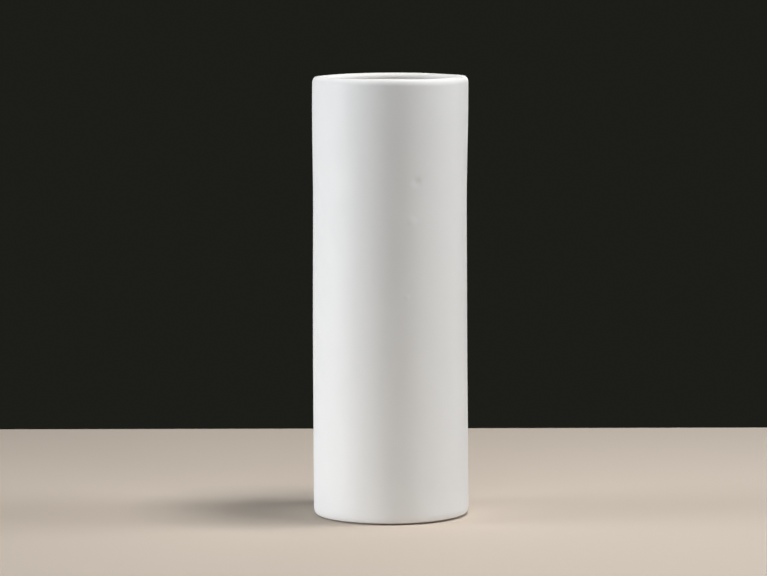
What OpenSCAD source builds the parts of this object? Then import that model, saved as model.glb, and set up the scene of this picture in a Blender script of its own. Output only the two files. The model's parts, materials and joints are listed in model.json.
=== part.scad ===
// Tall ceramic cylinder vase: a cast clay body, a satin coat outside and over the lip, and a liner coat.
// Millimetres, +Z up. The origin is on the vase's axis, on the surface that it stands on.

/* [Overall] */
// Height from the table to the top of the lip
height = 300; // [290:5:400]
// Outside radius at the bottom edge
edge_radius = 53.1; // [50:0.1:70]
// Outside radius at the waist, the slimmest ring of the wall
waist_radius = 52.3; // [50:0.1:69]
// Outside radius at the mouth
mouth_radius = 53; // [50:0.1:57]
// Height of the waist above the table
waist_height = 212; // [60:1:220]
// Length of wall above the waist over which it opens out to the mouth
flare_length = 71; // [20:1:80]

/* [Wall and lip] */
// Thickness of the wall at the mouth, coats included
wall = 7; // [6.7:0.1:12]
// Rounding of the lip on the outside
lip_outer_round = 3.5; // [1:0.1:3.7]
// Rounding of the lip on the inside
lip_inner_round = 3.1; // [1:0.1:3.3]

/* [Floor and foot] */
// Height of the inside floor above the table
floor_top = 10; // [8:0.5:20]
// Radius of the corner between the floor and the inside wall
floor_fillet = 7; // [2:0.5:20]
// How far the foot ring lies in from the bottom edge
foot_inset = 6; // [2.5:0.5:12]
// Width of the foot ring
foot_width = 6; // [4:0.5:12]
// Height of the foot ring, which is the gap under the bottom edge
foot_height = 1; // [0.5:0.1:3]
// Height of the hollow under the base
foot_hollow = 2.4; // [1:0.1:4]
// How far the side of that hollow leans inwards
foot_draft = 1.5; // [0.5:0.1:3]
// How far the rounding of the bottom edge reaches in
edge_round = 2; // [0.8:0.1:2.8]
// How far up the wall that rounding reaches
edge_rise = 5; // [0.8:0.1:12]

/* [Glaze] */
// Thickness of each coat
glaze = 0.5; // [0.2:0.05:0.55]

/* [Smoothness] */
// Facets round the axis
turn_facets = 144; // [48:12:240]
// Straight pieces in each quarter turn of a rounded edge
round_steps = 6; // [3:1:12]
// Straight pieces in the flare above the waist
flare_steps = 8; // [4:1:16]

/* [Hidden] */
bore_radius = mouth_radius - wall;
foot_outer = edge_radius - foot_inset;
foot_inner = foot_outer - foot_width;

// Points of a rounded corner in the (radius, height) plane, reaching across and up from its centre
function corner(centre, across, up, from, to) =
    [for (i = [0:round_steps])
        let (a = from + (to - from) * i / round_steps)
        centre + [across * cos(a), up * sin(a)]];

function arc(centre, radius, from, to) = corner(centre, radius, radius, from, to);

function reversed(points) =
    [for (i = [len(points) - 1:-1:0]) points[i]];

// Eases from 0 to 1 with level ends
function ease(u) = u * u * (3 - 2 * u);

// The wall above the waist, opening out to the mouth, sunk by depth
function flare(depth) =
    [for (i = [0:flare_steps])
        let (u = i / flare_steps)
        [waist_radius + (mouth_radius - waist_radius) * ease(u) - depth,
            waist_height + flare_length * u]];

// The outside, from the bottom edge up and over the lip to the top of the bore, sunk by depth
function outside(depth) = concat(
    corner([edge_radius - edge_round, foot_height + edge_rise],
        edge_round - depth, edge_rise - depth, -90, 0),
    flare(depth),
    arc([mouth_radius - lip_outer_round, height - lip_outer_round], lip_outer_round - depth, 0, 90),
    arc([bore_radius + lip_inner_round, height - lip_inner_round], lip_inner_round - depth, 90, 180));

// The inside, from the top of the bore down to the middle of the floor, sunk by depth
function inside(depth) = concat(
    [[bore_radius + depth, height - lip_inner_round]],
    arc([bore_radius - floor_fillet, floor_top + floor_fillet], floor_fillet + depth, 0, -90),
    [[0, floor_top - depth]]);

// The dry underside, from its middle out over the foot ring to the bottom edge
underside = [
    [0, foot_hollow],
    [foot_inner - foot_draft, foot_hollow],
    [foot_inner, 0],
    [foot_outer, 0],
    [foot_outer, foot_height + glaze],
];

module turned(points) {
    rotate_extrude($fn = turn_facets)
        polygon(points);
}

// Fired clay: wall, floor and foot ring in one casting
module ceramic_body() {
    color("antiquewhite")
        turned(concat(underside, outside(glaze), inside(glaze)));
}

// Satin white coat, from the bottom edge up and over the lip; the foot stays dry
module outer_glaze() {
    color("white")
        turned(concat(outside(0), reversed(outside(glaze))));
}

// Watertight liner coat, from the top of the bore down and across the floor
module inner_glaze() {
    color("ghostwhite")
        turned(concat(inside(0), reversed(inside(glaze))));
}

ceramic_body();
outer_glaze();
inner_glaze();
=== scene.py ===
"""Looks of the white ceramic cylinder vase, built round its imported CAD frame.

Metres, +Z up, in the frame's own axes. The CAD solids are three plain turned shapes. Each is replaced by a
finer turned mesh, with the small irregularities that casting, fettling and firing leave on a real vase.
"""

import json
import math

import bpy
import numpy as np
from mathutils import Euler, Matrix, Vector, noise


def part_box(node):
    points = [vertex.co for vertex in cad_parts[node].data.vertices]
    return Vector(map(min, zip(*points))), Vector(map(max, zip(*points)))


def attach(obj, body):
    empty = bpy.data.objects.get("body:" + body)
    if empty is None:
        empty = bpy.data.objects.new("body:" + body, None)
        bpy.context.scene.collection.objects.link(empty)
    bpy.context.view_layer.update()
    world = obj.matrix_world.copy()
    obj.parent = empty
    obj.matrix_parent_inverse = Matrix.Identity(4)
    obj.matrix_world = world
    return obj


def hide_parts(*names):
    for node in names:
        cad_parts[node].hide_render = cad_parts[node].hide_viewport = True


MM = 0.001

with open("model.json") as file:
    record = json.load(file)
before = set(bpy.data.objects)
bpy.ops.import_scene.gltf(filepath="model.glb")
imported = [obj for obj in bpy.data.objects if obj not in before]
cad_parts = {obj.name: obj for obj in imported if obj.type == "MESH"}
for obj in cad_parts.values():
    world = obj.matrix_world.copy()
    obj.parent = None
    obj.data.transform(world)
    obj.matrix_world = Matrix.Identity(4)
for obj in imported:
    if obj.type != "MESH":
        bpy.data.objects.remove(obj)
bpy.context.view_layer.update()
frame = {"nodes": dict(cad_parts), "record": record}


# ---------------------------------------------------------------- sizes

# The same as in the CAD, because the frame doesn't tell them
WAIST_HEIGHT = 212 * MM
FLARE_LENGTH = 71 * MM
EDGE_ROUND = 2.0 * MM
EDGE_RISE = 5.0 * MM
LIP_OUTER_ROUND = 3.5 * MM
COAT = 0.5 * MM
FOOT_WIDTH = 6 * MM
FOOT_HOLLOW = 2.4 * MM
FOOT_DRAFT = 1.5 * MM


def outer_radius_near(node, height, reach=0.6 * MM):
    """The largest radius of a CAD node's vertices near that height."""
    points = np.array([v.co for v in frame["nodes"][node].data.vertices])
    near = points[np.abs(points[:, 2] - height) < reach]
    return float(np.hypot(near[:, 0], near[:, 1]).max())


# Read from the frame, or worked out from it
mouth_mount = next(m for m in frame["record"]["mounts"] if m["name"] == "mouth")
FOOT_HEIGHT, HEIGHT = (c.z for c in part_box("outer_glaze"))
FLOOR_UNDER_LINER, BORE_TOP = (c.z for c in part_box("inner_glaze"))
BORE_RADIUS = mouth_mount["dims"]["r_mm"] * MM
BORE_BOTTOM = BORE_TOP - mouth_mount["dims"]["length_mm"] * MM
FLOOR_TOP = FLOOR_UNDER_LINER + COAT
FLOOR_FILLET = BORE_BOTTOM - FLOOR_TOP
LIP_INNER_ROUND = HEIGHT - BORE_TOP
FOOT_OUTER = outer_radius_near("ceramic_body", 0)
EDGE_RADIUS = outer_radius_near("outer_glaze", FOOT_HEIGHT + EDGE_RISE)
WAIST_RADIUS = outer_radius_near("outer_glaze", WAIST_HEIGHT)
MOUTH_RADIUS = outer_radius_near("outer_glaze", WAIST_HEIGHT + FLARE_LENGTH)

# The lip's outside is a slightly fuller corner than the CAD's: how far down it reaches, and its fullness
LIP_DROP = 5.0 * MM
LIP_FULLNESS = 2.4

# Small roundings under the base go through a middle point: how far they reach, and how deep that point lies
BARE_ROUND = 0.4 * MM
BARE_ROUND_DEPTH = 0.1 * MM

# The one where the hollow meets its side is wider: how far it reaches in, and down
HOLLOW_FILLET = 1.0 * MM
HOLLOW_FILLET_DROP = 0.5 * MM

# Mesh: facets round the axis, steps in a rounding and in the lip's outside, rings across the flat middles
SEGMENTS = 240
ROUND_STEPS = 12
LIP_STEPS = 20
FLOOR_RINGS = 15
HOLLOW_RINGS = 18

# Mesh: the spacing of the rings on the outside wall, in the bore, and where the coats hide them
OUTSIDE_STEP = 1.5 * MM
BORE_STEP = 3 * MM
HIDDEN_STEP = 12 * MM

# Faces that meet at more than this angle are shaded with a sharp edge
SHARP_ANGLE = math.radians(50)


def ease(u):
    """Eases from 0 to 1 with level ends."""
    u = np.clip(u, 0, 1)
    return u * u * (3 - 2 * u)


def wall_radius(z):
    """Outside radius of the wall: a faint taper up to the waist, then a flare out to the mouth."""
    top_of_edge = FOOT_HEIGHT + EDGE_RISE
    taper = np.clip((z - top_of_edge) / (WAIST_HEIGHT - top_of_edge), 0, 1)
    below = EDGE_RADIUS + (WAIST_RADIUS - EDGE_RADIUS) * taper
    return below + (MOUTH_RADIUS - WAIST_RADIUS) * ease((z - WAIST_HEIGHT) / FLARE_LENGTH)


# ---------------------------------------------------------------- profiles, as (radius, height) points


def corner(radius_at, height_at, across, up, start, end, steps, fullness=2.0):
    """A rounded corner that reaches across and up from its centre. A fullness above 2 makes it fuller."""
    points = []
    for a in np.radians(np.linspace(start, end, steps + 1)):
        c, s = math.cos(a), math.sin(a)
        x = math.copysign(abs(c) ** (2 / fullness), c)
        z = math.copysign(abs(s) ** (2 / fullness), s)
        points.append((radius_at + across * x, height_at + up * z))
    return points


def arc(radius_at, height_at, radius, start, end, steps):
    return corner(radius_at, height_at, radius, radius, start, end, steps)


def wall(depth, step):
    """The outside wall between its two rounded edges, sunk by depth."""
    low, high = FOOT_HEIGHT + EDGE_RISE, HEIGHT - LIP_DROP
    heights = np.linspace(low, high, round((high - low) / step) + 1)[1:-1]
    return [(float(wall_radius(z)) - depth, z) for z in heights]


def outside(depth, step):
    """From the bottom edge up and over the lip to the top of the bore, sunk by depth."""
    edge = (EDGE_RADIUS - EDGE_ROUND, FOOT_HEIGHT + EDGE_RISE, EDGE_ROUND - depth, EDGE_RISE - depth)
    lip = (MOUTH_RADIUS - LIP_OUTER_ROUND, HEIGHT - LIP_DROP, LIP_OUTER_ROUND - depth, LIP_DROP - depth)
    return (
        corner(*edge, -90, 0, ROUND_STEPS)
        + wall(depth, step)
        + corner(*lip, 0, 90, LIP_STEPS, LIP_FULLNESS)
        + arc(BORE_RADIUS + LIP_INNER_ROUND, BORE_TOP, LIP_INNER_ROUND - depth, 90, 180, ROUND_STEPS)
    )


def inside(depth, step):
    """From the top of the bore down to the middle of the floor, sunk by depth."""
    heights = np.linspace(BORE_TOP, BORE_BOTTOM, round((BORE_TOP - BORE_BOTTOM) / step) + 1)[:-1]
    flat_radius = BORE_RADIUS - FLOOR_FILLET
    radii = np.linspace(flat_radius, 0, FLOOR_RINGS + 1)[1:]
    return (
        [(BORE_RADIUS + depth, z) for z in heights]
        + arc(flat_radius, BORE_BOTTOM, FLOOR_FILLET + depth, 0, -90, ROUND_STEPS)
        + [(r, FLOOR_TOP - depth) for r in radii]
    )


def underside():
    """From the middle of the dry base out over the foot ring to the bottom edge."""
    foot_inner = FOOT_OUTER - FOOT_WIDTH
    hollow_radius = foot_inner - FOOT_DRAFT
    radii = np.linspace(0, hollow_radius - HOLLOW_FILLET, HOLLOW_RINGS)
    return [(r, FOOT_HOLLOW) for r in radii] + [
        (hollow_radius - BARE_ROUND, FOOT_HOLLOW - BARE_ROUND_DEPTH),
        (hollow_radius, FOOT_HOLLOW - HOLLOW_FILLET_DROP),
        (foot_inner - BARE_ROUND, BARE_ROUND),
        (foot_inner, BARE_ROUND_DEPTH),
        (foot_inner + BARE_ROUND, 0),
        (FOOT_OUTER - BARE_ROUND, 0),
        (FOOT_OUTER - BARE_ROUND_DEPTH, BARE_ROUND_DEPTH),
        (FOOT_OUTER, BARE_ROUND),
        (FOOT_OUTER, FOOT_HEIGHT + COAT),
    ]


# ---------------------------------------------------------------- the form of a hand-finished casting

# How far the middle of the axis bows aside from its two ends
BOW = 0.55 * MM

# Slant of the bottom edge: full just above the flat foot ring, at the first height, and gone by the second
EDGE_SLANT = 0.32 * MM
SLANT_FULL = 0.8 * MM
SLANT_END = 12 * MM

# Slow unevenness of the wall: its depth, how quickly it changes round and up the wall, where in the noise
# it starts, and how far above the bottom edge it has its full depth
UNDULATION = 0.10 * MM
UNDULATION_ACROSS = 22
UNDULATION_UP = 14
UNDULATION_ORIGIN = Vector((3.1, 7.7, 1.3))
UNDULATION_RISE = 8 * MM

# Where the lip was rubbed down more, or less: angle from the front towards +X, depth, spread of angle
LIP_DIPS = [(-115, 0.45 * MM, 28), (130, 0.32 * MM, 18), (25, 0.20 * MM, 20), (2, -0.18 * MM, 16)]

# How far down the wall those places reach
DIP_REACH = 16 * MM

# Marks in the coat: angle from the front towards +X, height, radius, and how far it stands proud
COAT_MARKS = [
    (20.1, 231.5 * MM, 4.4 * MM, -0.34 * MM),
    (16.2, 205.0 * MM, 4.4 * MM, 0.28 * MM),
    (12.3, 154.3 * MM, 2.2 * MM, 0.28 * MM),
]

# The mesh rounds the marks off a little, so the material's bump adds this share of their relief
MARK_SHARPNESS = 0.3


def undulation(x, y, z):
    """Slow unevenness of the wall, about 5 cm across, as a share of its greatest depth."""
    place = Vector((x * UNDULATION_ACROSS, y * UNDULATION_ACROSS, z * UNDULATION_UP))
    return noise.noise(place + UNDULATION_ORIGIN)


def dip(angle):
    """How far the lip lies below its plain ring at that angle from the front, or above where negative."""
    return sum(depth * math.exp(-(((angle - at) / spread) ** 2)) for at, depth, spread in LIP_DIPS)


def mark_place(angle, height):
    """The point of the outside wall at that angle and height."""
    a = math.radians(angle)
    reach = float(wall_radius(height))
    return (reach * math.sin(a), -reach * math.cos(a), height)


MARKS = [(mark_place(angle, height), radius, proud) for angle, height, radius, proud in COAT_MARKS]


def mark_relief(x, y, z):
    """How far the marks stand proud at that place. It is 0 everywhere but on the coat's outside."""
    relief = 0.0
    for place, radius, proud in MARKS:
        if abs(z - place[2]) < radius and math.hypot(x, y) > math.hypot(*place[:2]) - COAT / 2:
            relief += proud * float(1 - ease(math.dist((x, y, z), place) / radius))
    return relief


def settled(x, y, z):
    """Where a point of the ideal turned shape lies on the real vase."""
    radius = math.hypot(x, y)
    if radius > 0:
        off_foot = float(ease((z - FOOT_HEIGHT) / UNDULATION_RISE))
        swell = UNDULATION * undulation(x, y, z) * off_foot + mark_relief(x, y, z)
        x += x / radius * swell
        y += y / radius * swell
    aside = BOW * (0.5 - math.sin(math.pi * z / HEIGHT))
    near_edge = float(ease(1 - z / SLANT_END) * ease(z / SLANT_FULL))
    near_lip = float(ease(1 - (HEIGHT - z) / DIP_REACH))
    lift = EDGE_SLANT * near_edge * x / EDGE_RADIUS
    lift -= dip(math.degrees(math.atan2(x, -y))) * near_lip
    return (x + aside, y, z + lift)


def turned(name, profile, closed=False):
    """A mesh turned from (radius, height) points. closed joins the last point to the first."""
    vertices, rings, faces = [], [], []
    for radius, z in profile:
        first = len(vertices)
        count = SEGMENTS if radius > 0 else 1
        for j in range(count):
            a = 2 * math.pi * j / count
            vertices.append(settled(radius * math.sin(a), -radius * math.cos(a), z))
        rings.append((first, count))
    pairs = list(zip(rings, rings[1:]))
    if closed:
        pairs.append((rings[-1], rings[0]))
    for (a, many_a), (b, many_b) in pairs:
        for j in range(max(many_a, many_b)):
            k = (j + 1) % SEGMENTS
            if many_a > 1 and many_b > 1:
                faces.append((a + j, a + k, b + k, b + j))
            elif many_b > 1:
                faces.append((a, b + k, b + j))
            elif many_a > 1:
                faces.append((a + j, a + k, b))
    mesh = bpy.data.meshes.new(name)
    mesh.from_pydata(vertices, [], faces)
    mesh.validate()
    mesh.shade_smooth()
    mesh.set_sharp_from_angle(angle=SHARP_ANGLE)
    piece = bpy.data.objects.new(name, mesh)
    bpy.context.scene.collection.objects.link(piece)
    return piece


under_outer_coat = outside(COAT, HIDDEN_STEP)
under_liner = inside(COAT, HIDDEN_STEP)

# The clay's outside ends on the ring where its inside begins, so that ring is left out once
clay = turned("clay_body", underside() + under_outer_coat + under_liner[1:])
outer_coat = turned("outer_coat", outside(0, OUTSIDE_STEP) + under_outer_coat[::-1], closed=True)
inner_coat = turned("liner_coat", inside(0, BORE_STEP) + under_liner[::-1], closed=True)


# ---------------------------------------------------------------- materials

# Where most values of a noise texture lie
NOISE_RANGE = (0.3, 0.7)


class Nodes:
    """Short ways to add and link shader nodes in one material."""

    def __init__(self, name):
        self.material = bpy.data.materials.new(name)
        self.material.use_nodes = True
        self.tree = self.material.node_tree
        self.shader = self.tree.nodes["Principled BSDF"]
        self.place = self.tree.nodes.new("ShaderNodeTexCoord").outputs["Object"]

    def add(self, kind, **settings):
        made = self.tree.nodes.new(kind)
        for key, value in settings.items():
            setattr(made, key, value)
        return made

    def link(self, source, target):
        self.tree.links.new(source, target)

    def noise(self, scale, detail=2.0, roughness=0.5):
        made = self.add("ShaderNodeTexNoise")
        made.inputs["Scale"].default_value = scale
        made.inputs["Detail"].default_value = detail
        made.inputs["Roughness"].default_value = roughness
        self.link(self.place, made.inputs["Vector"])
        return made.outputs["Fac"]

    def spots(self, scale, size):
        """1 in the middle of scattered round spots and 0 between them; size is a share of their spacing."""
        made = self.add("ShaderNodeTexVoronoi", feature="F1")
        made.inputs["Scale"].default_value = scale
        self.link(self.place, made.inputs["Vector"])
        return self.ramp(made.outputs["Distance"], size, 0, 0, 1)

    def mark(self, place, radius):
        """1 at a place, falling to 0 at that radius round it."""
        made = self.add("ShaderNodeVectorMath", operation="DISTANCE")
        made.inputs[1].default_value = place
        self.link(self.place, made.inputs[0])
        return self.ramp(made.outputs["Value"], 0, radius, 1, 0)

    def ramp(self, value, low, high, to_low=0.0, to_high=1.0):
        """Eases from to_low, where value is low, to to_high, where it is high."""
        made = self.add("ShaderNodeMapRange", interpolation_type="SMOOTHSTEP")
        limits = {"From Min": low, "From Max": high, "To Min": to_low, "To Max": to_high}
        for socket, number in limits.items():
            made.inputs[socket].default_value = number
        self.link(value, made.inputs["Value"])
        return made.outputs["Result"]

    def mix(self, share, first, second):
        """The first colour where share is 0 and the second where it is 1."""
        made = self.add("ShaderNodeMix", data_type="RGBA")
        self.link(share, made.inputs["Factor"])
        # The node's colours go in at sockets 6 and 7, and come out at 2
        for socket, colour in ((made.inputs[6], first), (made.inputs[7], second)):
            if isinstance(colour, tuple):
                socket.default_value = (*colour, 1)
            else:
                self.link(colour, socket)
        return made.outputs[2]

    def height(self):
        split = self.add("ShaderNodeSeparateXYZ")
        self.link(self.place, split.inputs[0])
        return split.outputs["Z"]

    def bump(self, value, proud, normal=None):
        """Relief that stands proud by that much where value is 1, or is sunk where proud is below 0."""
        made = self.add("ShaderNodeBump", invert=proud < 0)
        made.inputs["Strength"].default_value = 1
        made.inputs["Distance"].default_value = abs(proud)
        self.link(value, made.inputs["Height"])
        if normal is not None:
            self.link(normal, made.inputs["Normal"])
        return made.outputs["Normal"]


def satin_glaze():
    """White satin glaze: a soft, slightly eggshell surface, with rare pinholes."""
    n = Nodes("satin_white_glaze")
    cloud = n.ramp(n.noise(scale=18, detail=3), *NOISE_RANGE)
    colour = n.mix(cloud, (0.812, 0.815, 0.812), (0.800, 0.803, 0.802))
    n.link(colour, n.shader.inputs["Base Color"])
    roughness = n.ramp(n.noise(scale=60, detail=4), *NOISE_RANGE, 0.57, 0.63)
    n.link(roughness, n.shader.inputs["Roughness"])
    eggshell = n.bump(n.noise(scale=420), 0.02 * MM)
    surface = n.bump(n.spots(scale=60, size=0.03), -0.1 * MM, eggshell)
    for place, radius, proud in MARKS:
        surface = n.bump(n.mark(place, radius), proud * MARK_SHARPNESS, surface)
    n.link(surface, n.shader.inputs["Normal"])
    return n.material


def liner_glaze():
    """Glossier liner glaze, darker and warmer where it pools on the floor and in its corner."""
    n = Nodes("liner_glaze")
    above_fillet = BORE_BOTTOM + 4 * MM
    pooled = n.ramp(n.height(), above_fillet, FLOOR_TOP)
    colour = n.mix(pooled, (0.86, 0.838, 0.808), (0.75, 0.735, 0.69))
    n.link(colour, n.shader.inputs["Base Color"])
    roughness = n.ramp(n.noise(scale=50, detail=3), *NOISE_RANGE, 0.16, 0.24)
    n.link(roughness, n.shader.inputs["Roughness"])
    n.link(n.bump(n.noise(scale=160), 0.03 * MM), n.shader.inputs["Normal"])
    return n.material


def bisque():
    """Bare fired clay: matt, finely grained, with a few darker specks."""
    n = Nodes("bisque")
    cloud = n.ramp(n.noise(scale=40, detail=4), *NOISE_RANGE)
    base = n.mix(cloud, (0.62, 0.55, 0.46), (0.70, 0.63, 0.54))
    specked = n.mix(n.spots(scale=420, size=0.18), base, (0.36, 0.29, 0.22))
    n.link(specked, n.shader.inputs["Base Color"])
    n.shader.inputs["Roughness"].default_value = 0.85
    grain = n.noise(scale=1400, detail=3, roughness=0.7)
    n.link(n.bump(grain, 0.05 * MM), n.shader.inputs["Normal"])
    return n.material


def floor_material():
    """Plain and matt, so that low views have no glare."""
    n = Nodes("pale_floor")
    n.shader.inputs["Base Color"].default_value = (0.66, 0.58, 0.50, 1)
    n.shader.inputs["Roughness"].default_value = 0.7
    n.shader.inputs["Specular IOR Level"].default_value = 0.0
    return n.material


for piece, material, node, slot in (
    (clay, bisque(), "ceramic_body", "bisque"),
    (outer_coat, satin_glaze(), "outer_glaze", "satin_white_glaze"),
    (inner_coat, liner_glaze(), "inner_glaze", "liner_glaze"),
):
    piece.data.materials.append(material)
    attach(piece, "root")
    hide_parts(node)


# ---------------------------------------------------------------- floor, lights and camera


def floor():
    """A plain pale tabletop that the vase stands on."""
    left, right, front, back = -0.75, 0.75, -0.45, 0.42
    mesh = bpy.data.meshes.new("floor")
    corners = [(left, front, 0), (right, front, 0), (right, back, 0), (left, back, 0)]
    mesh.from_pydata(corners, [], [(0, 1, 2, 3)])
    made = bpy.data.objects.new("floor", mesh)
    bpy.context.scene.collection.objects.link(made)
    mesh.materials.append(floor_material())


def softbox(name, place, aim, width, height, power, colour):
    """A rectangular lamp at a place, facing what it aims at."""
    light = bpy.data.lights.new(name, "AREA")
    light.shape = "RECTANGLE"
    light.size, light.size_y = width, height
    light.energy = power
    light.color = colour
    made = bpy.data.objects.new(name, light)
    made.location = place
    made.rotation_euler = (Vector(aim) - Vector(place)).to_track_quat("-Z", "Y").to_euler()
    bpy.context.scene.collection.objects.link(made)


AIM = (0, 0, HEIGHT / 2)
COOL_WHITE = (0.96, 1.0, 1.045)
PLAIN_WHITE = (1.0, 1.0, 1.0)
WARM_WHITE = (1.04, 1.0, 0.96)
floor()
softbox("main_softbox", (0.2, -0.06, 1.12), AIM, 0.23, 0.23, 6.2, WARM_WHITE)
softbox("left_softbox", (-3.0, -0.4, 0.45), AIM, 1.2, 1.0, 61.8, COOL_WHITE)
softbox("left_low_softbox", (-1.28, -0.16, 0.25), AIM, 0.6, 0.5, 3.5, PLAIN_WHITE)
softbox("right_softbox", (1.28, 0.0, 0.85), AIM, 0.45, 0.6, 7.8, COOL_WHITE)
softbox("front_fill", (1.8, -2.4, 0.35), AIM, 0.8, 0.6, 18.7, PLAIN_WHITE)
softbox("floor_softbox", (0.0, -0.55, 0.75), (0, -0.2, 0), 0.3, 0.3, 0.8, COOL_WHITE)
softbox("back_fill", (0.6, 2.6, 0.6), AIM, 0.8, 0.6, 8, PLAIN_WHITE)

DARK_ROOM = (0.012, 0.012, 0.0095, 1)
world = bpy.data.worlds.new("studio")
world.use_nodes = True
world.node_tree.nodes["Background"].inputs["Color"].default_value = DARK_ROOM
bpy.context.scene.world = world

# The camera looks from in front, a little above the mouth. The sensor and the lens are in millimetres.
SENSOR_WIDTH = 36
FOCAL_LENGTH = 178.33377
DISTANCE = 2.580
CAMERA_HEIGHT = 0.4185
PITCH = math.radians(5.824)
YAW = math.radians(0.104)
ROLL = math.radians(-0.15)

camera = bpy.data.cameras.new("camera")
camera.sensor_width = SENSOR_WIDTH
camera.lens = FOCAL_LENGTH
camera.clip_start = 0.1
camera.clip_end = 50
camera_object = bpy.data.objects.new("camera", camera)
camera_object.location = (0, -DISTANCE, CAMERA_HEIGHT)
aimed = Euler((math.pi / 2 - PITCH, 0, YAW)).to_matrix()
camera_object.rotation_euler = (aimed @ Matrix.Rotation(ROLL, 3, "Z")).to_euler()
bpy.context.scene.collection.objects.link(camera_object)
bpy.context.scene.camera = camera_object
bpy.context.scene.view_settings.view_transform = "Standard"
